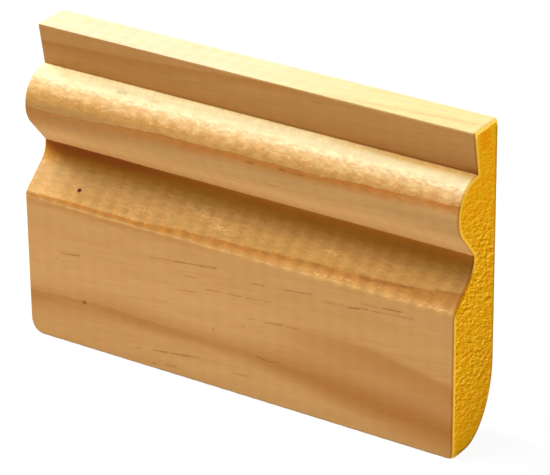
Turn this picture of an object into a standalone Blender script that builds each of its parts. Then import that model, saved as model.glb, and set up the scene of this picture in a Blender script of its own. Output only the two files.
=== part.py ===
# A short length of moulded softwood skirting board, square cut at both ends.
# Units are metres. X runs along the board, +Z is up, and the moulded face looks along -Y.
# The wall face is the plane Y = 0, and the origin is at the middle of its flat.

from math import acos, atan2, ceil, cos, hypot, pi, radians, sin, tan

import bmesh
import bpy

# The board
BOARD_LENGTH = 0.142
BOARD_HEIGHT = 0.094
BOARD_THICKNESS = 0.0215

# The fascia is the plain band under the top edge, cut back from the front plane and leaning inwards
FASCIA_TOP_SETBACK = 0.0094
FASCIA_FOOT_SETBACK = 0.0116

# The bead is a round nose below the fascia, and its straight underside ends in a sharp quirk
BEAD_RADIUS = 0.0095
BEAD_CREST_DROP = 0.0224
BEAD_CREST_SETBACK = 0.0016
QUIRK_DROP = 0.0362
QUIRK_SETBACK = 0.0103

# Below the quirk a cove turns into a slope, which rolls over tightly into the flat lower face
LOWER_FACE_HEIGHT = 0.0441
COVE_RADIUS = 0.0075
OGEE_RADIUS = 0.0022
OGEE_LEAN = radians(49)

# The foot is flat in front, and sweeps up to the wall face behind in a quarter of an ellipse
FOOT_WIDTH = 0.0068
SWEEP_HEIGHT = 0.0223

# The flats of the arcs turn by about this much from one to the next, and a sharper turn is an arris
ARC_STEP = radians(4)
ARRIS_ANGLE = radians(20)

# Points closer than this are one point, where the outline's ends meet its sides
WELD_DISTANCE = 0.00001

# Where the origin sits, measured from the foot
ORIGIN_HEIGHT = (SWEEP_HEIGHT + BOARD_HEIGHT) / 2

PINE_COLOUR = (0.66, 0.44, 0.20, 1.0)
PINE_ROUGHNESS = 0.55


def clear_scene():
    for item in list(bpy.data.objects):
        bpy.data.objects.remove(item, do_unlink=True)


def section_point(setback, height):
    """A point of the section as (Y, Z), from how far it is behind the front plane and above the foot."""
    return (setback - BOARD_THICKNESS, height - ORIGIN_HEIGHT)


def arc(setback, height, across, up, start, end):
    """Points round an ellipse centred at (setback, height). Angle 0 looks to the wall, and 90 degrees up."""
    steps = max(2, ceil(abs(end - start) / ARC_STEP))
    angles = [start + (end - start) * step / steps for step in range(steps + 1)]
    return [section_point(setback + across * cos(a), height + up * sin(a)) for a in angles]


def bead():
    """The bead's nose, from the fascia's foot round its crest, and the straight run back to the quirk."""
    centre = BEAD_CREST_SETBACK + BEAD_RADIUS
    crest = BOARD_HEIGHT - BEAD_CREST_DROP
    quirk = BOARD_HEIGHT - QUIRK_DROP
    across = QUIRK_SETBACK - centre
    up = quirk - crest
    fascia_foot = acos((FASCIA_FOOT_SETBACK - centre) / BEAD_RADIUS)
    tangent = atan2(up, across) + 2 * pi - acos(BEAD_RADIUS / hypot(across, up))
    nose = arc(centre, crest, BEAD_RADIUS, BEAD_RADIUS, fascia_foot, tangent)
    return nose + [section_point(QUIRK_SETBACK, quirk)]


def cove_and_ogee():
    """The cove's hollow, its straight slope, and the roll into the lower face."""
    slope_foot_setback = OGEE_RADIUS * (1 - cos(OGEE_LEAN))
    slope_top_setback = QUIRK_SETBACK - COVE_RADIUS * (1 - cos(OGEE_LEAN))
    slope_foot = LOWER_FACE_HEIGHT + OGEE_RADIUS * sin(OGEE_LEAN)
    slope_top = slope_foot + (slope_top_setback - slope_foot_setback) / tan(OGEE_LEAN)
    cove_centre = slope_top + COVE_RADIUS * sin(OGEE_LEAN)
    hollow = arc(QUIRK_SETBACK - COVE_RADIUS, cove_centre, COVE_RADIUS, COVE_RADIUS, 0, -OGEE_LEAN)
    roll = arc(OGEE_RADIUS, LOWER_FACE_HEIGHT, OGEE_RADIUS, OGEE_RADIUS, pi - OGEE_LEAN, pi)
    return hollow + roll


def sweep():
    """The rounded underside, from the flat of the foot up to the wall face."""
    across = BOARD_THICKNESS - FOOT_WIDTH
    return arc(FOOT_WIDTH, SWEEP_HEIGHT, across, SWEEP_HEIGHT, -pi / 2, 0)


def board_section():
    """The whole cross-section, from the back of the top edge down the front and up the back."""
    top_edge = [
        section_point(BOARD_THICKNESS, BOARD_HEIGHT),
        section_point(FASCIA_TOP_SETBACK, BOARD_HEIGHT),
    ]
    front_arris = [section_point(0, 0)]
    return top_edge + bead() + cove_and_ogee() + front_arris + sweep()


def pine():
    material = bpy.data.materials.new("pine")
    material.use_nodes = True
    shader = material.node_tree.nodes["Principled BSDF"]
    shader.inputs["Base Color"].default_value = PINE_COLOUR
    shader.inputs["Roughness"].default_value = PINE_ROUGHNESS
    shader.inputs["Metallic"].default_value = 0.0
    material.diffuse_color = PINE_COLOUR
    return material


def extruded_section():
    """The section as a flat outline, extruded to the board's length and stood up on its foot."""
    outline = bpy.data.curves.new("board_section", "CURVE")
    outline.dimensions = "2D"
    outline.fill_mode = "BOTH"
    outline.extrude = BOARD_LENGTH / 2
    section = board_section()
    spline = outline.splines.new("POLY")
    spline.points.add(len(section) - 1)
    for point, (y, z) in zip(spline.points, section):
        point.co = (y, z, 0, 1)
    spline.use_cyclic_u = True
    extruded = bpy.data.objects.new("board_section", outline)
    extruded.rotation_euler = (pi / 2, 0, pi / 2)
    return extruded


def welded_mesh(shape, name):
    """The curve as a closed mesh, smooth round its arcs and sharp at its arrises."""
    bpy.context.scene.collection.objects.link(shape)
    graph = bpy.context.evaluated_depsgraph_get()
    mesh = bpy.data.meshes.new_from_object(shape.evaluated_get(graph))
    mesh.name = name
    whole = bmesh.new()
    whole.from_mesh(mesh)
    bmesh.ops.remove_doubles(whole, verts=whole.verts, dist=WELD_DISTANCE)
    whole.to_mesh(mesh)
    whole.free()
    mesh.shade_smooth()
    mesh.set_sharp_from_angle(angle=ARRIS_ANGLE)
    return mesh


def make_board(collection):
    shape = extruded_section()
    mesh = welded_mesh(shape, "board")
    mesh.materials.append(pine())
    board = bpy.data.objects.new("board", mesh)
    board.matrix_world = shape.matrix_world
    collection.objects.link(board)
    bpy.data.objects.remove(shape, do_unlink=True)


clear_scene()
skirting = bpy.data.collections.new("skirting_board")
bpy.context.scene.collection.children.link(skirting)
make_board(skirting)
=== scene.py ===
from math import ceil, exp, floor, pi, radians

import bmesh
import bpy
from mathutils import Matrix, Vector, noise


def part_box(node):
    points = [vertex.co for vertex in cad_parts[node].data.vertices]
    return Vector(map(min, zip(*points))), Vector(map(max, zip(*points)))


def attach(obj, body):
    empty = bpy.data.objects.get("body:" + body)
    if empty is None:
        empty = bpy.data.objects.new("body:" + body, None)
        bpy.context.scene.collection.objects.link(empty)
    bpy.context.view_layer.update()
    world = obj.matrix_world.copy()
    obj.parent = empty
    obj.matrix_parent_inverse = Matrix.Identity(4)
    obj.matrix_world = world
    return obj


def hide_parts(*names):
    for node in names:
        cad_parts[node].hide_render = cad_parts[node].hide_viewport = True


# A short length of pine skirting, planed to its moulding and sawn square at both ends.
# The board runs along X, its moulded face looks along -Y and its back lies on the plane Y = 0.

mm = 0.001

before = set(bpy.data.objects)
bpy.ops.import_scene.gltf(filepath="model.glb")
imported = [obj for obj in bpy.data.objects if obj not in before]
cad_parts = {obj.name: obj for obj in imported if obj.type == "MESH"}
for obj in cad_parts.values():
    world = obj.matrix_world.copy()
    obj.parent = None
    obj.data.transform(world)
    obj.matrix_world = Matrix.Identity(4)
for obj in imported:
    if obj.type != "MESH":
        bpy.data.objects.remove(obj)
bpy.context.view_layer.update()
boardLow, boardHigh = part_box("board")
print("frame loaded")


# Camera: it looks down on the moulded face from the front right, through a long lens

cameraSetup = {
    "azimuth": 33.151,  # degrees round to the right of straight ahead
    "elevation": 26.557,  # degrees above the horizon
    "roll": -0.659,  # degrees, the picture leans a little
    "aim": (1.67 * mm, -2.29 * mm, -16.80 * mm),
    "distance": 938.78 * mm,
    "lens": 218.82,  # mm
    "sensor": 36.0,  # mm
    "nearest": 10 * mm,
}


def makeCamera(setup):
    data = bpy.data.cameras.new("camera")
    data.sensor_width = setup["sensor"]
    data.lens = setup["lens"]
    data.clip_start = setup["nearest"]
    camera = bpy.data.objects.new("camera", data)
    around = Matrix.Rotation(radians(setup["azimuth"]), 4, "Z")
    upward = Matrix.Rotation(radians(90 - setup["elevation"]), 4, "X")
    lean = Matrix.Rotation(radians(setup["roll"]), 4, "Z")
    turn = around @ upward @ lean
    back = turn.to_3x3() @ Vector((0, 0, 1))
    camera.matrix_world = Matrix.Translation(Vector(setup["aim"]) + back * setup["distance"]) @ turn
    bpy.context.scene.collection.objects.link(camera)
    bpy.context.scene.camera = camera


makeCamera(cameraSetup)
print("camera set")


# Studio: a pale floor, soft boxes high on the left, and cards that throw light back up at the board

studio = {
    "floorReach": 3.0,  # metres, from its middle to each side
    "floorColour": (0.06, 0.06, 0.06, 1),
    "floorRoughness": 0.9,
    "floorGlow": 0.92,
    "glowColour": (1, 1, 1, 1),
    "roomColour": (1.0, 1.0, 1.0, 1),
    "roomStrength": 0.10,
}

# Each light's middle and size in metres, what it faces, and its brightness across its face.
# The three cards that face nothing lie on the floor and face straight up
lights = {
    "high_box": {"middle": (-0.60, 0.10, 1.0), "faces": (0, 0, 0), "size": (0.28, 0.42), "brightness": 27},
    "left_box": {"middle": (-1.05, 0.0, 1.0), "faces": (0, 0, 0), "size": (0.58, 0.22), "brightness": 35},
    "front_box": {"middle": (-0.30, -0.375, 1.0), "faces": (0, 0, 0), "size": (0.28, 0.47), "brightness": 21},
    "side_box": {"middle": (-1.1, -0.33, 1.0), "faces": (0, 0, 0), "size": (0.5, 0.4), "brightness": 12.7},
    "near_card": {"middle": (0, -0.0565, -0.058), "size": (0.6, 0.02), "brightness": 1.67},
    "wide_card": {"middle": (0, -0.2215, -0.058), "size": (0.6, 0.4), "brightness": 1.056},
    "far_card": {"middle": (0, -0.2965, -0.058), "size": (0.6, 0.25), "brightness": 0.889},
    "back_card": {"middle": (0, 0.6, 0.35), "faces": (0, 0, 0), "size": (2.0, 0.9), "brightness": 1.3},
    "right_card": {"middle": (0.5, 0.12, 0.04), "faces": (0, 0.02, 0), "size": (0.4, 0.2), "brightness": 6.0},
}


def makeFloor(setup):
    sheet = bmesh.new()
    bmesh.ops.create_grid(sheet, x_segments=1, y_segments=1, size=setup["floorReach"])
    bmesh.ops.translate(sheet, verts=sheet.verts, vec=(0, 0, boardLow.z))
    mesh = bpy.data.meshes.new("floor")
    sheet.to_mesh(mesh)
    sheet.free()
    material = bpy.data.materials.new("floor_sheet")
    material.use_nodes = True
    shader = material.node_tree.nodes["Principled BSDF"]
    shader.inputs["Base Color"].default_value = setup["floorColour"]
    shader.inputs["Roughness"].default_value = setup["floorRoughness"]
    shader.inputs["Specular IOR Level"].default_value = 0.0
    shader.inputs["Emission Color"].default_value = setup["glowColour"]
    shader.inputs["Emission Strength"].default_value = setup["floorGlow"]
    mesh.materials.append(material)
    floorSheet = bpy.data.objects.new("floor", mesh)
    bpy.context.scene.collection.objects.link(floorSheet)
    floorSheet.visible_diffuse = False  # the cards stand in for the light that it would throw back
    floorSheet.visible_glossy = False


def makeRoom(setup):
    world = bpy.data.worlds.new("room")
    world.use_nodes = True
    background = world.node_tree.nodes["Background"]
    background.inputs["Color"].default_value = setup["roomColour"]
    background.inputs["Strength"].default_value = setup["roomStrength"]
    bpy.context.scene.world = world


def makeLight(name, setup):
    data = bpy.data.lights.new(name, "AREA")
    data.shape = "RECTANGLE"
    data.size, data.size_y = setup["size"]
    data.energy = setup["brightness"] * pi * data.size * data.size_y
    light = bpy.data.objects.new(name, data)
    light.location = setup["middle"]
    away = Vector((0, 0, -1))
    if "faces" in setup:
        away = light.location - Vector(setup["faces"])
    light.rotation_euler = away.to_track_quat("Z", "Y").to_euler()
    light.visible_camera = False
    bpy.context.scene.collection.objects.link(light)


bpy.context.scene.view_settings.view_transform = "Standard"
bpy.context.scene.view_settings.look = "None"
makeFloor(studio)
makeRoom(studio)
for name, setup in lights.items():
    makeLight(name, setup)
print("studio lit")


# Board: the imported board's own outline, cut finer, run along its length again and sawn at both ends

boardShape = {
    "lengthStep": 0.56 * mm,
    "wallStep": 2.0 * mm,  # spacing of the points round the outline
    "sweepStep": 1.1 * mm,
    "topStep": 0.7 * mm,
    "flatStep": 0.8 * mm,
    "mouldingStep": 0.45 * mm,
    "mouldingReach": 1.0 * mm,  # the finest spacing starts this far under the arris
    "topEdge": 0.22 * mm,  # how far each arris is taken off
    "footEdge": 0.15 * mm,
    "rim": 0.14 * mm,  # the sawn ends' broken edge
    "margin": 1.20 * mm,  # a border round each end, where the end grain takes a painted highlight
    "endStep": 0.60 * mm,
    "endSnap": 0.06 * mm,  # a cut across the end goes through any point this near
    "endCorners": 20,  # only the two sawn faces have more corners than this
    "sharpTurn": 35,  # degrees, an edge that turns more than this stays sharp
}

# Heights above the foot where the moulding changes
members = {
    "sweepTop": 22.3 * mm,
    "arris": 44.1 * mm,
    "fasciaFoot": 81.1 * mm,
}

samePlace = 0.01 * mm
onFace = 0.05 * mm


def heightAt(point):
    return point.z - boardLow.z


def outlineStep(point, shape):
    if point.y > boardHigh.y - onFace:
        return shape["wallStep"]
    if point.z > boardHigh.z - onFace:
        return shape["topStep"]
    if heightAt(point) < members["sweepTop"] and point.y > boardLow.y + onFace:
        return shape["sweepStep"]
    if heightAt(point) < members["arris"] - shape["mouldingReach"]:
        return shape["flatStep"]
    return shape["mouldingStep"]


def easeArrises(outline, shape):
    topCorners = [v for v in outline.verts if v.co.z > boardHigh.z - samePlace]
    atFront = [v for v in outline.verts if v.co.y < boardLow.y + samePlace]
    footCorner = [v for v in atFront if v.co.z < boardLow.z + samePlace]
    for corners, offset in ((topCorners, shape["topEdge"]), (footCorner, shape["footEdge"])):
        bmesh.ops.bevel(
            outline,
            geom=corners,
            offset=offset,
            offset_type="OFFSET",
            segments=3,
            profile=0.5,
            affect="VERTICES",
            clamp_overlap=True,
            material=-1,
        )


def endOutline(node, shape):
    outline = bmesh.new()
    outline.from_mesh(node.data)
    outline.verts.layers.float.new("rim")
    outline.verts.layers.float.new("torn")
    bmesh.ops.remove_doubles(outline, verts=outline.verts, dist=samePlace)
    others = [v for v in outline.verts if v.co.x < boardHigh.x - samePlace]
    bmesh.ops.delete(outline, geom=others, context="VERTS")
    bmesh.ops.dissolve_faces(outline, faces=outline.faces)
    bmesh.ops.delete(outline, geom=outline.faces[:], context="FACES_ONLY")
    easeArrises(outline, shape)
    for edge in outline.edges[:]:
        middle = (edge.verts[0].co + edge.verts[1].co) / 2
        cuts = ceil(edge.calc_length() / outlineStep(middle, shape)) - 1
        if cuts > 0:
            bmesh.ops.subdivide_edges(outline, edges=[edge], cuts=cuts)
    return outline


def runAlong(board, shape):
    length = boardHigh.x - boardLow.x
    rightLoop = board.edges[:]
    made = bmesh.ops.extrude_edge_only(board, edges=rightLoop)["geom"]
    farVerts = [v for v in made if isinstance(v, bmesh.types.BMVert)]
    bmesh.ops.translate(board, verts=farVerts, vec=(-length, 0, 0))
    madeEdges = [e for e in made if isinstance(e, bmesh.types.BMEdge)]
    leftLoop = [e for e in madeEdges if e.verts[0].co.x < 0 and e.verts[1].co.x < 0]
    runs = [e for e in board.edges if abs(e.verts[0].co.x - e.verts[1].co.x) > length / 2]
    bmesh.ops.subdivide_edges(board, edges=runs, cuts=round(length / shape["lengthStep"]) - 1)
    return rightLoop, leftLoop


def endFaces(board, shape):
    return [f for f in board.faces if abs(f.normal.x) > 0.99 and len(f.verts) > shape["endCorners"]]


def closeEnds(board, loops, shape):
    for loop in loops:
        bmesh.ops.contextual_create(board, geom=loop)
    bmesh.ops.recalc_face_normals(board, faces=board.faces)
    rims = bmesh.ops.bevel(
        board,
        geom=[e for loop in loops for e in loop],
        offset=shape["rim"],
        offset_type="OFFSET",
        segments=2,
        profile=0.5,
        affect="EDGES",
        clamp_overlap=True,
        material=-1,
    )
    rim = board.verts.layers.float["rim"]
    for face in rims["faces"]:
        face.material_index = 1
    for vert in rims["verts"]:
        vert[rim] = 1.0
    ends = endFaces(board, shape)
    margins = bmesh.ops.inset_individual(board, faces=ends, thickness=shape["margin"], use_even_offset=True)
    for face in margins["faces"]:
        face.material_index = 1
    for end in ends:
        for vert in end.verts:
            vert[rim] = 0.0


def sliceEnds(board, shape):
    ends = endFaces(board, shape)
    geometry = set(ends)
    for end in ends:
        end.material_index = 1
        geometry.update(end.verts, end.edges)
    geometry = list(geometry)
    for axis, low, high in ((2, boardLow.z, boardHigh.z), (1, boardLow.y, boardHigh.y)):
        count = round((high - low) / shape["endStep"])
        normal = Vector((0, 0, 0))
        normal[axis] = 1
        for step in range(1, count):
            place = normal * (low + (high - low) * step / count)
            geometry = bmesh.ops.bisect_plane(
                board,
                geom=geometry,
                dist=shape["endSnap"],
                plane_co=place,
                plane_no=normal,
            )["geom"]


board = endOutline(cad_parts["board"], boardShape)
loops = runAlong(board, boardShape)
closeEnds(board, loops, boardShape)
print("board run along,", len(board.faces), "faces")
sliceEnds(board, boardShape)
print("ends sliced,", len(board.faces), "faces")


# Relief: what the planer and the saw left, and what the grain did under them

planing = {
    "pitch": 5.28 * mm,  # one ripple for each pass of a knife
    "start": -72.9 * mm,
    "depth": 0.05 * mm,
    "sway": 0.04 * mm,
    "swayLength": 38 * mm,
    "ridge": 0.012 * mm,  # raised lines along the grain
    "ridgeAcross": 2.2 * mm,
    "ridgeAlong": 24 * mm,
    "fuzz": 0.04 * mm,  # short fibres torn up on the curves
    "fuzzAcross": 1.0 * mm,
    "fuzzAlong": 2.6 * mm,
    "fuzzClear": 5 * mm,  # none of them this near the wall
    "tear": 0.22 * mm,  # where the grain tore
    "tearAcross": 0.6 * mm,
    "tearAlong": 1.3 * mm,
    "tearLift": 0.15,
    "tearLeast": 0.02,
    "tearClear": 8 * mm,
    "seeds": {"ridge": 3.0, "fuzz": 7.0, "tear": 11.0},
}

# Places where the knives tore the grain: where along the board, the height above the foot, how far the tear
# reaches along and across, and how deep it is
tears = [
    {"x": -33 * mm, "height": 48.4 * mm, "along": 3.0 * mm, "across": 0.9 * mm, "depth": 0.6},
    {"x": -12 * mm, "height": 50.3 * mm, "along": 4.0 * mm, "across": 1.0 * mm, "depth": 0.7},
    {"x": -6.5 * mm, "height": 48.6 * mm, "along": 3.0 * mm, "across": 0.9 * mm, "depth": 0.9},
    {"x": 29 * mm, "height": 49.9 * mm, "along": 3.5 * mm, "across": 0.8 * mm, "depth": 0.9},
    {"x": 30 * mm, "height": 45.1 * mm, "along": 4.5 * mm, "across": 0.7 * mm, "depth": 1.0},
    {"x": 37 * mm, "height": 45.8 * mm, "along": 4.0 * mm, "across": 0.6 * mm, "depth": 0.8},
    {"x": 47 * mm, "height": 46.3 * mm, "along": 3.0 * mm, "across": 0.6 * mm, "depth": 0.7},
    {"x": 65 * mm, "height": 44.8 * mm, "along": 4.5 * mm, "across": 0.7 * mm, "depth": 1.0},
    {"x": -48 * mm, "height": 44.0 * mm, "along": 2.5 * mm, "across": 0.5 * mm, "depth": 0.9},
]

# Corners knocked in handling: where, how far the knock reaches, and how deep it goes
knocks = [
    {"corner": (boardHigh.x, boardLow.y, boardLow.z), "reach": 2.6 * mm, "depth": 0.5 * mm},
    {"corner": boardLow, "reach": 5.0 * mm, "depth": 1.6 * mm},
    {"corner": boardHigh, "reach": 1.6 * mm, "depth": 0.5 * mm},
]

sawing = {
    "score": 0.03 * mm,  # lines that the saw's teeth left
    "pitch": 1.9 * mm,
    "scoreLength": 14 * mm,
    "scoreLean": 9 * mm,  # a score rises by one pitch over this much of the thickness
    "scoreSeed": 5.0,
    "pull": 0.10 * mm,  # fibres that it pulled out
    "pullSize": 0.8 * mm,
    "pullFrom": 0.1,
    "pullSeed": 2.0,
}


def ripple(x, marks):
    turn = (x - marks["start"]) / marks["pitch"]
    across = turn - floor(turn) - 0.5
    return marks["depth"] * (1 - 4 * across**2)


def grainNoise(point, marks, name):
    along = marks[name + "Along"]
    across = marks[name + "Across"]
    seed = marks["seeds"][name]
    return noise.noise(Vector((point.x / along, point.y / across + seed, point.z / across - seed)))


def tornAt(point, marks):
    if point.y >= boardHigh.y - marks["tearClear"]:
        return 0.0
    torn = 0.0
    for tear in tears:
        along = (point.x - tear["x"]) / tear["along"]
        across = (heightAt(point) - tear["height"]) / tear["across"]
        torn = max(torn, tear["depth"] * exp(-(along**2) - across**2))
    return torn


def curvedFace(point, marks):
    onMoulding = members["arris"] < heightAt(point) < members["fasciaFoot"]
    return onMoulding and point.y < boardHigh.y - marks["fuzzClear"]


def planedDepth(point, marks):
    depth = ripple(point.x, marks)
    depth += marks["sway"] * (0.5 + noise.noise(point / marks["swayLength"]))
    depth += marks["ridge"] * (0.5 + grainNoise(point, marks, "ridge"))
    if curvedFace(point, marks):
        depth += marks["fuzz"] * (0.5 + grainNoise(point, marks, "fuzz"))
    torn = tornAt(point, marks)
    if torn > marks["tearLeast"]:
        depth += torn * marks["tear"] * max(0.0, grainNoise(point, marks, "tear") + marks["tearLift"])
    return max(0.0, depth)


def sawnDepth(point, marks):
    along = point.y / marks["scoreLength"]
    across = point.z / marks["pitch"] + point.y / marks["scoreLean"]
    score = 0.5 + 0.5 * noise.noise(Vector((along, across, marks["scoreSeed"])))
    fibres = Vector((marks["pullSeed"], point.y / marks["pullSize"], point.z / marks["pullSize"]))
    pull = max(0.0, noise.noise(fibres) - marks["pullFrom"])
    return marks["score"] * score + marks["pull"] * pull


def knockDepth(point):
    deepest = 0.0
    for knock in knocks:
        near = 1 - (point - Vector(knock["corner"])).length / knock["reach"]
        if near > 0:
            deepest = max(deepest, knock["depth"] * near * near)
    return deepest


def giveRelief(board):
    board.normal_update()
    torn = board.verts.layers.float["torn"]
    middle = (boardLow + boardHigh) / 2
    moves = []
    for vert in board.verts:
        if abs(vert.co.x) > boardHigh.x - samePlace:
            inward = -1 if vert.co.x > 0 else 1
            move = Vector((inward * sawnDepth(vert.co, sawing), 0, 0))
        else:
            vert[torn] = tornAt(vert.co, planing)
            move = -vert.normal * planedDepth(vert.co, planing)
        move += (middle - vert.co).normalized() * knockDepth(vert.co)
        moves.append(move)
    for vert, move in zip(board.verts, moves):
        vert.co += move


giveRelief(board)
print("relief cut")


# Wood: a pale tan softwood, its latewood lines laid at the heights where the moulding cuts them


def feed(tree, socket, value):
    if isinstance(value, bpy.types.NodeSocket):
        tree.links.new(value, socket)
    else:
        socket.default_value = value


def calc(tree, operation, first, second=0.0, third=0.0):
    node = tree.nodes.new("ShaderNodeMath")
    node.operation = operation
    for socket, value in zip(node.inputs, (first, second, third)):
        feed(tree, socket, value)
    return node.outputs[0]


def plus(tree, first, *others):
    for other in others:
        first = calc(tree, "ADD", first, other)
    return first


def times(tree, first, *others):
    for other in others:
        first = calc(tree, "MULTIPLY", first, other)
    return first


def swing(tree, value, amount):
    return times(tree, calc(tree, "SUBTRACT", value, 0.5), amount)


def ease(tree, value, low, high, bottom=0.0, top=1.0):
    node = tree.nodes.new("ShaderNodeMapRange")
    node.interpolation_type = "SMOOTHSTEP"
    for socket, number in zip(node.inputs, (value, low, high, bottom, top)):
        feed(tree, socket, number)
    return node.outputs[0]


def fadeOut(tree, value, low, high):
    return ease(tree, value, low, high, 1.0, 0.0)


def between(tree, value, low, high, soft):
    rise = ease(tree, value, low - soft, low + soft)
    return times(tree, rise, fadeOut(tree, value, high - soft, high + soft))


def tint(tree, amount, under, over, mode="MIX"):
    node = tree.nodes.new("ShaderNodeMix")
    node.data_type = "RGBA"
    node.blend_type = mode
    node.clamp_factor = True
    feed(tree, node.inputs[0], amount)
    feed(tree, node.inputs[6], under)
    feed(tree, node.inputs[7], over)
    return node.outputs[2]


def stain(tree, wood, amount, tone):
    return tint(tree, amount, wood, tone, "MULTIPLY")


def stretch(tree, vector, size, shift=(0, 0, 0), tilt=(0, 0, 0)):
    node = tree.nodes.new("ShaderNodeMapping")
    node.vector_type = "TEXTURE"
    node.inputs["Location"].default_value = shift
    node.inputs["Rotation"].default_value = [radians(angle) for angle in tilt]
    node.inputs["Scale"].default_value = size
    tree.links.new(vector, node.inputs["Vector"])
    return node.outputs[0]


def cloud(tree, vector, size, shift=(0, 0, 0), tilt=(0, 0, 0), detail=2.0, roughness=0.5):
    node = tree.nodes.new("ShaderNodeTexNoise")
    tree.links.new(stretch(tree, vector, size, shift, tilt), node.inputs["Vector"])
    node.inputs["Scale"].default_value = 1.0
    node.inputs["Detail"].default_value = detail
    node.inputs["Roughness"].default_value = roughness
    return node.outputs[0]


def attribute(tree, name):
    node = tree.nodes.new("ShaderNodeAttribute")
    node.attribute_name = name
    return node.outputs["Fac"]


# A curve along the board through pairs of (along the board, value), with its values from nothing to top
def alongBoard(tree, x, points, top):
    node = tree.nodes.new("ShaderNodeFloatCurve")
    curve = node.mapping.curves[0]
    while len(curve.points) < len(points):
        curve.points.new(0.5, 0.5)
    half = round(boardHigh.x / mm, 3)
    for spot, (place, value) in zip(curve.points, points):
        spot.location = ((place + half) / (2 * half), value / top)
    node.mapping.update()
    tree.links.new(calc(tree, "MULTIPLY_ADD", x, 0.5 / half, 0.5), node.inputs["Value"])
    node.inputs["Factor"].default_value = 1.0
    return times(tree, node.outputs[0], top)


# Where a point is on the board, in millimetres: all three axes together, x, y, and the height above the foot
def placeOnBoard(tree):
    where = tree.nodes.new("ShaderNodeTexCoord").outputs["Object"]
    spot = stretch(tree, where, (mm, mm, mm))
    axes = tree.nodes.new("ShaderNodeSeparateXYZ")
    tree.links.new(spot, axes.inputs[0])
    x, y, z = axes.outputs
    return spot, x, y, calc(tree, "SUBTRACT", z, boardLow.z / mm)


def dressShader(material, finish, colour, relief):
    tree = material.node_tree
    shader = tree.nodes["Principled BSDF"]
    feed(tree, shader.inputs["Base Color"], colour)
    shader.inputs["Roughness"].default_value = finish["roughness"]
    shader.inputs["Specular IOR Level"].default_value = finish["specular"]
    bump = tree.nodes.new("ShaderNodeBump")
    bump.inputs["Strength"].default_value = 1.0
    bump.inputs["Distance"].default_value = finish["bump"]
    tree.links.new(relief, bump.inputs["Height"])
    tree.links.new(bump.outputs[0], shader.inputs["Normal"])


pine = {
    "face": (0.532, 0.273, 0.087, 1),
    "upperFace": (0.515, 0.262, 0.080, 1),
    "arris": (0.555, 0.288, 0.084, 1),
    "slope": (0.468, 0.236, 0.056, 1),
    # painted shade: the cove and its foot darker and redder, standing in for the shade under the bead
    "coveFootShade": (0.480, 0.205, 0.025, 1),
    "coveShade": (0.460, 0.160, 0.009, 1),
    # painted light: the lip over the quirk and the bead's flank lighter, standing in for light thrown up from
    # the floor in front
    "litLip": (0.765, 0.400, 0.130, 1),
    "underBead": (0.560, 0.302, 0.099, 1),
    "litFlank": (0.655, 0.366, 0.128, 1),
    "crest": (0.462, 0.236, 0.066, 1),
    # painted highlight: the bead's upper side paler, in peach and cream, as it looks in full light
    "peachHighlight": (0.545, 0.335, 0.135, 1),
    "creamHighlight": (0.590, 0.480, 0.268, 1),
    "fascia": (0.540, 0.262, 0.076, 1),
    # painted highlight: the top face paler and creamy, as it looks in full light
    "top": (0.480, 0.402, 0.256, 1),
    "hidden": (0.560, 0.300, 0.095, 1),  # back and underside
    "duller": (0.935, 0.905, 0.860, 1),  # the rest multiply the wood under them
    "livelier": (1.065, 1.095, 1.140, 1),
    "rosy": (1.010, 0.990, 0.990, 1),
    "olive": (0.992, 1.008, 0.985, 1),
    "late": (0.745, 0.550, 0.320, 1),
    "stripe": (0.800, 0.590, 0.310, 1),
    # painted light on the slope at the left end
    "pallid": (0.900, 1.040, 1.550, 1),
    # painted shade under the quirk
    "stained": (0.660, 0.370, 0.220, 1),
    "ember": (0.775, 0.505, 0.260, 1),
    # pale torn fibres; along the arris also painted glints
    "torn": (1.400, 1.550, 1.900, 1),
    "resin": (0.600, 0.500, 0.380, 1),
    "knot": (0.160, 0.015, 0.000, 1),
    # paler along the arris at the fascia's top, more so to the right
    "paleArris": (1.280, 1.500, 1.550, 1),
    # painted shade in the crease at the fascia's foot
    "creaseShade": (0.700, 0.510, 0.210, 1),
    # painted light where the bead turns up under the fascia, and a russet painted shade there at the right
    "litUpturn": (1.300, 1.330, 1.300, 1),
    "russetShade": (1.020, 0.800, 0.480, 1),
    "waned": (1.030, 0.990, 0.740, 1),
    "slant": (0.840, 0.750, 0.640, 1),
    "left": (0.900, 0.900, 0.940, 1),
    "right": (0.740, 0.600, 0.270, 1),
    "roughness": 0.60,
    "specular": 0.08,
    "bump": 0.04 * mm,
}

# Noise over the planed wood: its size along, through and up the board in millimetres, and its tilt in degrees
woodNoise = {
    "broad": {"size": (60, 9, 9)},
    "streaks": {
        "size": (30, 1.3, 1.3),
        "shift": (4, 0, 0),
        "tilt": (0, -5, 4),  # the grain rises a little to the right
        "detail": 3.0,
        "roughness": 0.55,
    },
    "fibres": {"size": (6, 0.35, 0.35), "shift": (9, 0, 0), "tilt": (0, -5, 4), "detail": 1.0},
    "wrinkles": {
        "size": (3.6, 1.1, 1.1),
        "shift": (0, 3, 8),
        "tilt": (0, 10, 0),
        "detail": 3.0,
        "roughness": 0.6,
    },
    "fuzz": {"size": (1.2, 0.8, 0.8), "shift": (0, 3, 0), "tilt": (0, -20, 0), "roughness": 0.65},
    "blush": {"size": (7, 3.5, 3.5), "shift": (3, 3, 3), "detail": 1.0},
    "wander": {"size": (14, 4, 4), "shift": (0, 5, 0), "detail": 3.0},
    "hatch": {"size": (0.55, 3.0, 3.0), "shift": (1, 0, 0), "tilt": (0, 0, 28), "detail": 1.0},
    "specks": {"size": (1.6, 0.6, 0.6), "shift": (7, 0, 2), "tilt": (0, -25, 0), "detail": 1.0},
}

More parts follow.
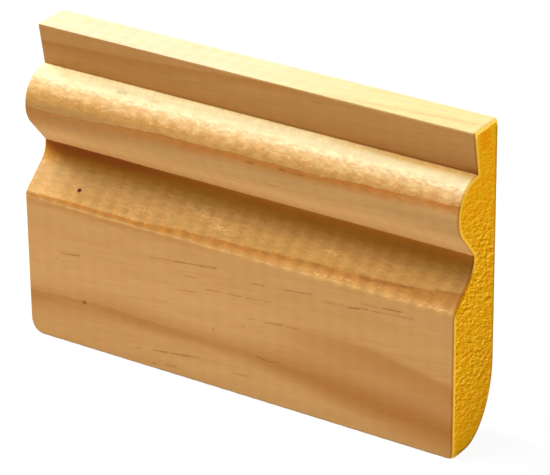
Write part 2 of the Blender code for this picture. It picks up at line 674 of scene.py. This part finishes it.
# Here and below, two numbers are where a change starts and ends, along the board, up it or through it in
# millimetres, or in a noise's own values. A third is how softly the sides of a band fade. Where there are
# four, the last two are how much there is at the start and at the end
zones = {
    "front": (-9.0, -6.0),  # the moulded side ends here, on its way to the back
    "top": (93.75, 93.95),
    "bead": (73.0, 80.0, 1.5),
    "slope": (44.0, 54.0, 1.5),
}


# Every place, noise and zone that the wood's looks are made from, by name
def woodFields(tree):
    spot, x, y, height = placeOnBoard(tree)
    at = {name: cloud(tree, spot, **setup) for name, setup in woodNoise.items()}
    at.update(x=x, y=y, height=height)
    at["front"] = fadeOut(tree, y, *zones["front"])
    at["top"] = ease(tree, height, *zones["top"])
    at["bead"] = between(tree, height, *zones["bead"])
    at["slope"] = between(tree, height, *zones["slope"])
    at["rough"] = times(tree, at["front"], calc(tree, "MAXIMUM", at["bead"], at["slope"]))
    return at


# The value with its edge made ragged by one of the noises
def wobble(tree, value, field, amount):
    return plus(tree, value, swing(tree, field, amount))


# Which tone the wood has at each height on the moulded side, in millimetres above the foot
# The cove's tones are painted shade, the lip's and flank's painted light, and the peach and cream a painted
# highlight
toneHeights = [
    (40.0, "face"),
    (42.8, "upperFace"),
    (43.7, "arris"),
    (44.8, "arris"),
    (46.2, "slope"),
    (51.5, "slope"),
    (54.3, "coveFootShade"),
    (56.2, "coveShade"),
    (57.60, "coveShade"),
    (57.80, "litLip"),
    (59.5, "litFlank"),
    (62.0, "litFlank"),
    (66.0, "underBead"),
    (75.7, "underBead"),
    (77.4, "peachHighlight"),
    (78.0, "peachHighlight"),
    (79.5, "creamHighlight"),
    (81.1, "creamHighlight"),
    (81.3, "fascia"),
    (93.70, "fascia"),
    (93.95, "top"),
]

highestTone = 95.0  # the last tone goes on up to here

beadTones = {
    "wrinkle": 2.2,  # how far the bead's tones wander up and down, in millimetres
    "fuzz": 2.6,
    "ringWrinkle": 0.8,
    "ringEdge": (-0.25, 0.25),
    "goldFades": (75.3, 77.4),  # the gold above the ring gives way to the peach and the cream
    "topWanes": (-30.0, 60.0),  # the top face's painted highlight goes yellower from here to here, left to right
}


def toneByHeight(tree, height):
    lowest = toneHeights[0][0]
    reach = highestTone - lowest
    node = tree.nodes.new("ShaderNodeValToRGB")
    stops = node.color_ramp.elements
    while len(stops) < len(toneHeights):
        stops.new(1.0)
    for stop, (place, tone) in zip(stops, toneHeights):
        stop.position = (place - lowest) / reach
        stop.color = pine[tone]
    tree.links.new(calc(tree, "MULTIPLY_ADD", height, 1 / reach, -lowest / reach), node.inputs["Fac"])
    return node.outputs["Color"]


def mouldingTones(tree, at):
    ragged = swing(tree, at["wrinkles"], beadTones["wrinkle"])
    ragged = wobble(tree, ragged, at["fuzz"], beadTones["fuzz"])
    ragged = calc(tree, "MULTIPLY_ADD", ragged, at["bead"], at["height"])
    wood = toneByHeight(tree, ragged)
    # Above its own growth ring the bead is a darker gold
    ring = alongBoard(tree, at["x"], grainLightAndShadeBands["beadRing"]["path"], curveTops["path"])
    rise = wobble(tree, at["height"], at["wrinkles"], beadTones["ringWrinkle"])
    rise = calc(tree, "SUBTRACT", rise, ring)
    golden = ease(tree, rise, *beadTones["ringEdge"])
    golden = times(tree, golden, fadeOut(tree, ragged, *beadTones["goldFades"]))
    wood = tint(tree, golden, wood, pine["crest"])
    wood = tint(tree, calc(tree, "MAXIMUM", at["front"], at["top"]), pine["hidden"], wood)
    # Painted highlight on the top face, fading yellower towards the right
    waned = times(tree, at["top"], ease(tree, at["x"], *beadTones["topWanes"]))
    return stain(tree, wood, waned, pine["waned"])


grain = {
    "overall": {"broad": 0.35, "streaks": 0.40, "fibres": 0.25},  # how much each noise counts
    "onCurves": {"wrinkles": 1.3, "fuzz": 0.7},  # the same, on the bead and the slope alone
    "dullToLively": (0.30, 0.70),
    "rosyToOlive": (0.35, 0.65),
    "fibreBump": 0.3,
    "fuzzBump": 0.1,
    "curveBump": 0.7,  # the fuzz stands up more on the bead and the slope
}


def addGrain(tree, wood, at):
    tone = 0.0
    for name, share in grain["overall"].items():
        tone = calc(tree, "MULTIPLY_ADD", at[name], share, tone)
    for name, share in grain["onCurves"].items():
        tone = calc(tree, "MULTIPLY_ADD", swing(tree, at[name], share), at["rough"], tone)
    lively = tint(tree, ease(tree, tone, *grain["dullToLively"]), pine["duller"], pine["livelier"])
    blushing = tint(tree, ease(tree, at["blush"], *grain["rosyToOlive"]), pine["rosy"], pine["olive"])
    return stain(tree, stain(tree, wood, 1.0, lively), 1.0, blushing)


def grainRelief(tree, at):
    fuzzy = calc(tree, "MULTIPLY_ADD", at["rough"], grain["curveBump"], grain["fuzzBump"])
    return plus(tree, times(tree, at["fibres"], grain["fibreBump"]), times(tree, at["fuzz"], fuzzy))


# Painted light and shade: slow changes of brightness, as shares of the wood's own
shading = {
    "wave": 0.018,  # the planer's ripples, as they take the light
    "curveWave": 0.036,  # more of it on the bead and the slope
    "stripeWave": 0.035,  # and more again along the arris
    "stripe": (43.6, 46.8, 0.8),
    "shadeToRight": -0.05,  # painted shade: below the bead the wood darkens to the right
    "shadeToRightAlong": (-90.0, 90.0),
    "shadeToRightFades": (52.0, 60.0),
    "foot": 0.09,  # and painted light makes it lighter at the foot
    "footFades": (2.0, 13.0),
}


def addShading(tree, wood, at):
    turn = 2 * pi / planing["pitch"]
    turned = calc(tree, "MULTIPLY_ADD", at["x"], turn * mm, -turn * planing["start"])
    stripe = times(tree, between(tree, at["height"], *shading["stripe"]), at["front"])
    wave = calc(tree, "MULTIPLY_ADD", at["rough"], shading["curveWave"], shading["wave"])
    wave = calc(tree, "MULTIPLY_ADD", stripe, shading["stripeWave"], wave)
    wave = times(tree, calc(tree, "SINE", turned), wave, fadeOut(tree, at["top"], 0.0, 1.0))
    shadeToRight = ease(tree, at["x"], *shading["shadeToRightAlong"], 0.0, shading["shadeToRight"])
    shadeToRight = times(tree, shadeToRight, fadeOut(tree, at["height"], *shading["shadeToRightFades"]))
    foot = ease(tree, at["height"], *shading["footFades"], shading["foot"], 0.0)
    return stain(tree, wood, 1.0, plus(tree, wave, 1.0, shadeToRight, foot))


# Latewood lines, and bands of painted light and painted shade, in millimetres: each lies along its path and
# fades out above and below it.
# Every pair is (along the board, value)
grainLightAndShadeBands = {
    "lowBand": {
        "path": [
            (-71, 12.3), (-60, 13.0), (-50, 13.8), (-40, 14.2), (-25, 13.6),
            (0, 13.5), (20, 12.2), (45, 10.0), (71, 8.0),
        ],
        "above": [(-71, 6.0), (-40, 7.5), (0, 7.0), (20, 8.5), (45, 9.5), (71, 8.0)],
        "below": [(-71, 8.0), (-40, 5.5), (-25, 4.2), (-10, 3.4), (0, 3.6), (20, 5.5), (45, 8.0), (71, 12.0)],
        "strength": [
            (-71, 0.52), (-55, 0.42), (-40, 0.50), (-10, 0.56), (10, 0.72), (25, 0.88), (45, 1.0), (71, 1.0),
        ],
        "tint": "late",
    },
    "lowCore": {
        "path": [
            (-71, 13.6), (-60, 14.3), (-50, 14.9), (-40, 15.1),
            (-25, 14.6), (0, 14.4), (20, 13.3), (71, 12.0),
        ],
        "above": [(-71, 0.6), (-20, 0.6), (71, 1.2)],
        "below": [(-71, 5.0), (-25, 4.0), (0, 2.5), (71, 2.5)],
        "strength": [
            (-71, 0.44), (-52, 0.36), (-40, 0.42), (-20, 0.30), (0, 0.12), (20, 0.12), (35, 0.0), (71, 0.0),
        ],
        "tint": "late",
    },
    "middleBand": {
        "path": [(-71, 24.0), (10, 24.0), (30, 25.0), (45, 25.6), (55, 24.0), (65, 22.0), (71, 21.0)],
        "above": [(-71, 4.0), (30, 4.0), (45, 2.8), (71, 2.6)],
        "below": [(-71, 15.0), (71, 16.0)],
        "strength": [(-71, 0.0), (5, 0.0), (25, 0.36), (45, 0.58), (60, 0.66), (71, 0.72)],
        "tint": "late",
    },
    "slopeStripe": {
        "path": [
            (-71, 45.1), (-55, 45.25), (-30, 45.4), (0, 46.1), (30, 46.9), (45, 47.1), (60, 47.7), (71, 48.8),
        ],
        "above": [(-71, 0.5), (71, 0.5)],
        "below": [(-71, 1.9), (-30, 1.8), (0, 2.4), (30, 2.6), (45, 2.6), (60, 3.0), (71, 4.0)],
        "strength": [(-71, 1.0), (0, 1.0), (22, 0.84), (71, 0.78)],
        "tint": "stripe",
    },
    "faceStripe": {
        "path": [(-71, 43.4), (-20, 43.5), (71, 43.5)],
        "above": [(-71, 0.35), (71, 0.35)],
        "below": [(-71, 2.5), (71, 2.5)],
        "strength": [(-71, 0.30), (-62, 0.42), (-20, 0.42), (0, 0.10), (15, 0.0), (71, 0.0)],
        "tint": "stripe",
    },
    "beadRing": {
        "path": [
            (-71, 71.2), (-55, 71.5), (-45, 72.0), (-35, 72.9), (-20, 73.4),
            (0, 73.9), (10, 73.7), (30, 74.0), (45, 74.6), (71, 75.4),
        ],
        "above": [(-71, 0.4), (71, 0.4)],
        "below": [(-71, 10.0), (-50, 7.5), (-30, 5.8), (0, 5.0), (20, 4.3), (40, 3.6), (71, 3.2)],
        "strength": [(-71, 0.80), (-45, 0.76), (-30, 0.92), (30, 1.0), (71, 1.0)],
        "tint": "ember",
    },
    "fasciaLine": {
        "path": [(-71, 88.5), (-50, 89.4), (-30, 90.5), (-20, 91.3), (-10, 92.2), (10, 93.2), (71, 94.0)],
        "above": [(-71, 0.7), (71, 0.7)],
        "below": [(-71, 3.6), (-30, 4.2), (0, 3.0), (71, 3.0)],
        "strength": [(-71, 0.50), (-40, 0.45), (0, 0.55), (15, 0.40), (30, 0.10), (71, 0.10)],
        "tint": "stripe",
    },
    # painted light: the slope paler at the left end, where the light from the left reaches in under the bead
    "litLeftSlope": {
        "path": [(-71, 49.5), (71, 49.5)],
        "above": [(-71, 6.0), (71, 6.0)],
        "below": [(-71, 8.0), (71, 8.0)],
        "strength": [(-71, 1.0), (-63, 0.85), (-56, 0.45), (-30, 0.32), (0, 0.15), (20, 0.0), (71, 0.0)],
        "tint": "pallid",
    },
    # painted shade: the cove darker under the quirk, most at the left
    "quirkShade": {
        "path": [(-71, 57.7), (71, 57.7)],
        "above": [(-71, 0.3), (71, 0.3)],
        "below": [(-71, 5.5), (-45, 4.5), (-20, 3.0), (71, 3.0)],
        "strength": [(-71, 0.55), (-66, 0.90), (-50, 1.0), (-30, 0.65), (-10, 0.15), (5, 0.0), (71, 0.0)],
        "tint": "stained",
    },
}

# How high each of their curves can go, and how ragged and broken the lines are
curveTops = {"path": 100.0, "above": 20.0, "below": 20.0, "strength": 1.0}
lineEdges = {"wander": 1.2, "fuzz": 0.5, "streaked": (0.25, 0.6, 0.8, 1.0)}


def bandMask(tree, x, height, line):
    curves = [alongBoard(tree, x, line[name], top) for name, top in curveTops.items()]
    path, above, below, strength = curves
    rise = calc(tree, "SUBTRACT", height, path)
    up = calc(tree, "DIVIDE", rise, above)
    down = calc(tree, "DIVIDE", rise, times(tree, below, -1.0))
    return times(tree, fadeOut(tree, calc(tree, "MAXIMUM", up, down), 0.0, 1.0), strength)


def addGrainLightAndShade(tree, wood, at):
    wandered = wobble(tree, at["height"], at["wander"], lineEdges["wander"])
    wandered = wobble(tree, wandered, at["fuzz"], lineEdges["fuzz"])
    for line in grainLightAndShadeBands.values():
        late = times(tree, bandMask(tree, at["x"], wandered, line), at["front"])
        late = times(tree, late, ease(tree, at["streaks"], *lineEdges["streaked"]))
        wood = stain(tree, wood, late, pine[line["tint"]])
    return wood


# One latewood line crosses the top face at a slant, near the right end
topLine = {
    "slope": 0.108,
    "start": -14.0,  # where its path crosses the middle of the board
    "band": (-0.6, 0.8, 1.0),
    "along": (15.0, 45.0),
    "broken": (0.35, 0.62, 0.4, 1.0),
}


def addTopLine(tree, wood, at):
    path = calc(tree, "MULTIPLY_ADD", at["x"], topLine["slope"], topLine["start"])
    slant = between(tree, calc(tree, "SUBTRACT", at["y"], path), *topLine["band"])
    slant = times(tree, slant, at["top"], ease(tree, at["x"], *topLine["along"]))
    slant = times(tree, slant, ease(tree, at["fuzz"], *topLine["broken"]))
    return stain(tree, wood, slant, pine["slant"])


# The bead turns up to the fascia in a band of painted light, where the fascia's shade would fall, which turns
# to a russet painted shade at the right
upturn = {
    "depth": (-13.6, -11.2),
    "ragged": 1.5,
    "band": (80.3, 81.12, 0.1),
    "reddens": (12.0, 52.0),
    "hatched": 0.35,  # how strong the hatching across it is
}


def addUpturn(tree, wood, at):
    litUpturn = ease(tree, wobble(tree, at["y"], at["hatch"], upturn["ragged"]), *upturn["depth"])
    litUpturn = times(tree, litUpturn, at["front"], between(tree, at["height"], *upturn["band"]))
    band = tint(tree, ease(tree, at["x"], *upturn["reddens"]), pine["litUpturn"], pine["russetShade"])
    wood = stain(tree, wood, litUpturn, band)
    hatched = calc(tree, "MULTIPLY_ADD", swing(tree, at["hatch"], upturn["hatched"]), litUpturn, 1.0)
    return stain(tree, wood, 1.0, hatched)


# Pale torn fibres, with painted glints along the arris: specks along the arris, where the grain tore, and
# thinly over the slope
specks = {
    "arrisPath": [(-71, 44.2), (-50, 44.0), (0, 44.15), (30, 44.3), (71, 44.8)],
    "arrisWidth": [(-71, 0.35), (0, 0.45), (30, 0.7), (71, 1.0)],
    "arrisRagged": 0.9,
    "arrisFades": (0.3, 1.0),
    "glintsOnArris": (0.36, 0.64, 0.14, 0.50),
    "onTears": (0.46, 0.60),
    "onSlope": (0.60, 0.72, 0.0, 0.3),
}


def addSpecks(tree, wood, at):
    path = alongBoard(tree, at["x"], specks["arrisPath"], curveTops["path"])
    width = alongBoard(tree, at["x"], specks["arrisWidth"], curveTops["above"])
    gap = calc(tree, "SUBTRACT", wobble(tree, at["height"], at["wrinkles"], specks["arrisRagged"]), path)
    gap = calc(tree, "DIVIDE", calc(tree, "ABSOLUTE", gap), width)
    arris = fadeOut(tree, gap, *specks["arrisFades"])
    arris = times(tree, arris, ease(tree, at["specks"], *specks["glintsOnArris"]), at["front"])
    tears = times(tree, attribute(tree, "torn"), ease(tree, at["specks"], *specks["onTears"]))
    slope = times(tree, at["slope"], ease(tree, at["specks"], *specks["onSlope"]))
    pale = calc(tree, "MAXIMUM", calc(tree, "MAXIMUM", tears, arris), slope)
    return stain(tree, wood, pale, pine["torn"])


# Resin ducts cut open: left and right ends, as (along the board, height) in millimetres, and strength
ducts = [
    ((-59.3, 28.5), (-52.6, 29.4), 0.9),
    ((-61.4, 26.2), (-60.4, 26.8), 0.6),
    ((-28.0, 35.6), (-19.5, 36.5), 0.4),
    ((-19.6, 36.6), (-15.4, 36.9), 0.9),
    ((-15.2, 37.0), (-5.2, 38.0), 0.85),
    ((-21.5, 32.1), (-18.5, 32.4), 0.35),
    ((-16.4, 32.7), (-12.4, 33.1), 0.85),
    ((-9.5, 30.4), (-3.5, 31.0), 0.55),
    ((-2.2, 31.1), (3.2, 31.4), 0.6),
    ((4.0, 31.5), (13.0, 32.4), 0.4),
    ((-19.0, 27.8), (-12.6, 28.5), 0.5),
    ((5.0, 25.2), (8.2, 25.3), 0.5),
    ((10.4, 25.4), (16.2, 26.2), 0.85),
    ((17.0, 26.2), (22.0, 26.4), 0.35),
    ((6.4, 36.4), (10.6, 36.9), 0.7),
    ((17.0, 37.4), (26.2, 38.5), 0.6),
    ((30.0, 37.2), (36.0, 37.8), 0.4),
    ((37.4, 37.7), (44.2, 38.8), 0.95),
    ((45.0, 38.6), (58.0, 39.9), 0.6),
    ((42.0, 40.1), (47.0, 40.3), 0.4),
    ((48.4, 40.4), (54.5, 40.9), 1.0),
    ((-35.0, 4.8), (-31.5, 5.3), 0.35),
    ((-28.0, 5.7), (-22.8, 6.5), 0.85),
    ((-22.0, 6.6), (-12.0, 7.8), 0.85),
    ((-0.6, 6.1), (4.7, 6.8), 0.7),
    ((-28.3, 1.4), (-27.0, 1.7), 0.9),
    ((-23.8, 2.2), (-20.0, 2.6), 0.9),
    ((7.6, 14.0), (11.6, 13.3), 0.55),
    ((11.0, 13.2), (14.6, 14.0), 0.45),
    ((24.0, 46.9), (28.6, 47.0), 0.5),
    ((39.8, 46.9), (44.0, 46.6), 0.6),
    ((44.0, 46.7), (57.0, 47.5), 0.6),
    ((63.0, 48.2), (70.0, 48.7), 0.6),
    ((-63.0, 80.6), (-60.2, 80.6), 0.4),
    ((-42.8, 80.3), (-39.5, 80.3), 0.8),
    ((-31.2, 80.2), (-28.4, 80.2), 0.5),
    ((3.8, 72.4), (6.4, 72.5), 0.9),
    ((14.4, 72.9), (17.0, 72.8), 0.9),
    ((17.5, 72.6), (23.0, 72.9), 0.6),
    ((8.0, 66.6), (14.0, 66.9), 0.5),
    ((19.5, 91.0), (23.2, 91.2), 0.5),
]

# Small knots: the middle as (along the board, height), half the width and half the height in millimetres,
# and the strength
knots = [
    {"middle": (-54.5, 48.2), "half": (0.72, 0.45), "strength": 1.0},
    {"middle": (-51.6, 14.6), "half": (0.75, 0.60), "strength": 0.55},
    {"middle": (3.0, 22.2), "half": (0.70, 0.45), "strength": 0.20},
    {"middle": (-6.9, 18.4), "half": (0.60, 0.45), "strength": 0.20},
]

ductEdges = {"ragged": 0.5, "width": (0.08, 0.42), "ends": 0.5, "broken": (0.35, 0.60, 0.45, 1.0)}
knotEdge = (0.2, 1.6)


def ductMask(tree, x, height, duct):
    (left, leftHeight), (right, rightHeight), strength = duct
    rise = (rightHeight - leftHeight) / (right - left)
    level = calc(tree, "MULTIPLY_ADD", x, rise, leftHeight - rise * left)
    gap = calc(tree, "ABSOLUTE", calc(tree, "SUBTRACT", height, level))
    across = ease(tree, gap, *ductEdges["width"], strength, 0.0)
    return times(tree, across, between(tree, x, left, right, ductEdges["ends"]))


def knotMask(tree, x, height, knot):
    across = calc(tree, "DIVIDE", calc(tree, "SUBTRACT", x, knot["middle"][0]), knot["half"][0])
    up = calc(tree, "DIVIDE", calc(tree, "SUBTRACT", height, knot["middle"][1]), knot["half"][1])
    distance = plus(tree, times(tree, across, across), times(tree, up, up))
    return ease(tree, distance, *knotEdge, knot["strength"], 0.0)


def addDuctsAndKnots(tree, wood, at):
    height = wobble(tree, at["height"], at["wrinkles"], ductEdges["ragged"])
    resin = 0.0
    for duct in ducts:
        resin = calc(tree, "MAXIMUM", ductMask(tree, at["x"], height, duct), resin)
    resin = times(tree, resin, at["front"], ease(tree, at["wrinkles"], *ductEdges["broken"]))
    wood = stain(tree, wood, resin, pine["resin"])
    knotty = 0.0
    for knot in knots:
        knotty = calc(tree, "MAXIMUM", knotMask(tree, at["x"], at["height"], knot), knotty)
    return stain(tree, wood, times(tree, knotty, at["front"]), pine["knot"])


# Painted shade in the crease at the fascia's foot, a paler band along the arris at its top, and the last of
# the wood at each end
edges = {
    "creaseShade": (81.2, 81.7, 0.4),
    "creaseRagged": 0.8,
    "creaseAlong": (20.0, 71.0, 0.60, 1.0),
    "corner": (81.2, 82.8, 1.2),  # the crease's painted shade is wider in the corner at the right end
    "cornerAlong": (62.0, 71.0, 0.0, 0.8),
    "paleArris": (93.40, 93.80, 0.15),
    "paleArrisAlong": (-50.0, 45.0),
    "left": (-70.3, -70.9),
    "right": (69.9, 70.8),
}


def addEdges(tree, wood, at):
    x = at["x"]
    height = at["height"]
    creaseShade = between(tree, wobble(tree, height, at["fuzz"], edges["creaseRagged"]), *edges["creaseShade"])
    creaseShade = times(tree, creaseShade, ease(tree, x, *edges["creaseAlong"]))
    corner = times(tree, ease(tree, x, *edges["cornerAlong"]), between(tree, height, *edges["corner"]))
    creaseShade = times(tree, calc(tree, "MAXIMUM", creaseShade, corner), at["front"])
    wood = stain(tree, wood, creaseShade, pine["creaseShade"])
    paleArris = times(tree, between(tree, height, *edges["paleArris"]), ease(tree, x, *edges["paleArrisAlong"]))
    wood = stain(tree, wood, times(tree, paleArris, at["front"]), pine["paleArris"])
    wood = stain(tree, wood, ease(tree, x, *edges["left"]), pine["left"])
    return stain(tree, wood, ease(tree, x, *edges["right"]), pine["right"])


def planedPine():
    material = bpy.data.materials.new("planed_pine")
    material.use_nodes = True
    tree = material.node_tree
    at = woodFields(tree)
    wood = mouldingTones(tree, at)
    wood = addGrain(tree, wood, at)
    wood = addShading(tree, wood, at)
    wood = addGrainLightAndShade(tree, wood, at)
    wood = addTopLine(tree, wood, at)
    wood = addUpturn(tree, wood, at)
    wood = addSpecks(tree, wood, at)
    wood = addDuctsAndKnots(tree, wood, at)
    wood = addEdges(tree, wood, at)
    dressShader(material, pine, wood, grainRelief(tree, at))
    return material


# Sawn ends: a golden end grain with a fine oblique texture, and a border with a painted highlight along the
# sawn edge

endGrain = {
    "gold": (0.635, 0.304, 0.0045, 1),
    "light": (0.930, 0.540, 0.045, 1),
    "dark": (0.360, 0.120, 0.001, 1),
    "orange": (0.700, 0.220, 0.002, 1),
    # painted highlight on the border round the end, brighter at the top; painted shade where it passes the
    # slope
    "margin": (0.830, 0.455, 0.045, 1),
    "topMargin": (1.000, 0.680, 0.110, 1),
    "darkBorder": (0.400, 0.190, 0.012, 1),
    "slopeMargin": (0.400, 0.150, 0.001, 1),
    "roughness": 0.9,
    "specular": 0.0,
    "bump": 0.12 * mm,
    "broad": {"size": (3, 2.6, 4)},  # noise, in millimetres and degrees as on the planed wood
    "raised": {"size": (3.0, 2.3, 1.0), "tilt": (-28, 0, 0), "roughness": 0.6},
    "beside": (0, 0.45, -0.50),  # the raised grain is set over by this much to find its lit and shaded sides
    "lit": (0.03, 0.18),
    "shaded": (-0.17, -0.02),
    "coarse": (12.0, 68.0, 14.0),  # the saw pulled the fibres most in the middle
    "contrast": 0.30,
    "coarseContrast": 0.55,
    "reddens": (0.42, 0.70, 0.0, 0.45),
    "brightens": (10.0, 95.0, 0.95, 1.06),  # from the foot to the top
    "patchUp": (87.5, 92.5, 1.5),  # an orange patch behind the fascia
    "patchBack": (-8.5, -4.5, 1.5),
    "patchStrength": 0.7,
}

endMargin = {
    "edge": (0.10, 0.50),
    "strength": 0.85,
    "slope": (44.0, 53.0, 1.0),
    "top": (91.5, 92.8),
    "underBack": (-20.0, -18.0),  # darker under the foot, behind its front
    "underUp": (16.0, 6.0),
    "wallBack": (-3.0, -1.5),  # and along the wall face, but for its top
    "wallUp": (93.0, 91.5),
}


def endColour(tree, spot, y, height, raised):
    broad = cloud(tree, spot, **endGrain["broad"])
    beside = cloud(tree, spot, shift=endGrain["beside"], **endGrain["raised"])
    emboss = calc(tree, "SUBTRACT", raised, beside)
    coarse = between(tree, height, *endGrain["coarse"])
    contrast = calc(tree, "MULTIPLY_ADD", coarse, endGrain["coarseContrast"], endGrain["contrast"])
    colour = tint(tree, ease(tree, broad, *endGrain["reddens"]), endGrain["gold"], endGrain["orange"])
    colour = stain(tree, colour, 1.0, ease(tree, height, *endGrain["brightens"]))
    shaded = times(tree, fadeOut(tree, emboss, *endGrain["shaded"]), contrast)
    colour = tint(tree, shaded, colour, endGrain["dark"])
    lit = times(tree, ease(tree, emboss, *endGrain["lit"]), contrast)
    colour = tint(tree, lit, colour, endGrain["light"])
    patch = times(tree, between(tree, height, *endGrain["patchUp"]), between(tree, y, *endGrain["patchBack"]))
    return tint(tree, times(tree, patch, endGrain["patchStrength"]), colour, endGrain["orange"])


# The border: a painted highlight along the sawn edge, brighter at the top, with painted shade where it passes
# the slope under the bead, and darker under the foot and along the wall face
def addEndMargin(tree, colour, y, height):
    edge = ease(tree, attribute(tree, "rim"), *endMargin["edge"])
    under = times(tree, ease(tree, y, *endMargin["underBack"]), ease(tree, height, *endMargin["underUp"]))
    atWall = times(tree, ease(tree, y, *endMargin["wallBack"]), ease(tree, height, *endMargin["wallUp"]))
    onSlope = between(tree, height, *endMargin["slope"])
    margin = tint(tree, onSlope, endGrain["margin"], endGrain["slopeMargin"])
    margin = tint(tree, ease(tree, height, *endMargin["top"]), margin, endGrain["topMargin"])
    margin = tint(tree, calc(tree, "MAXIMUM", atWall, under), margin, endGrain["darkBorder"])
    return tint(tree, times(tree, edge, endMargin["strength"]), colour, margin)


def sawnEndGrain():
    material = bpy.data.materials.new("sawn_end_grain")
    material.use_nodes = True
    tree = material.node_tree
    spot, _, y, height = placeOnBoard(tree)
    raised = cloud(tree, spot, **endGrain["raised"])
    colour = addEndMargin(tree, endColour(tree, spot, y, height, raised), y, height)
    dressShader(material, endGrain, colour, raised)
    return material


def finishBoard(board):
    mesh = bpy.data.meshes.new("moulded_board")
    board.to_mesh(mesh)
    board.free()
    mesh.materials.append(planedPine())
    mesh.materials.append(sawnEndGrain())
    mesh.shade_smooth()
    mesh.set_sharp_from_angle(angle=radians(boardShape["sharpTurn"]))
    piece = bpy.data.objects.new("moulded_board", mesh)
    bpy.context.scene.collection.objects.link(piece)
    return piece


piece = finishBoard(board)
print("board finished,", sum(len(p.vertices) - 2 for p in piece.data.polygons), "triangles")

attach(piece, "root")
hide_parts("board")
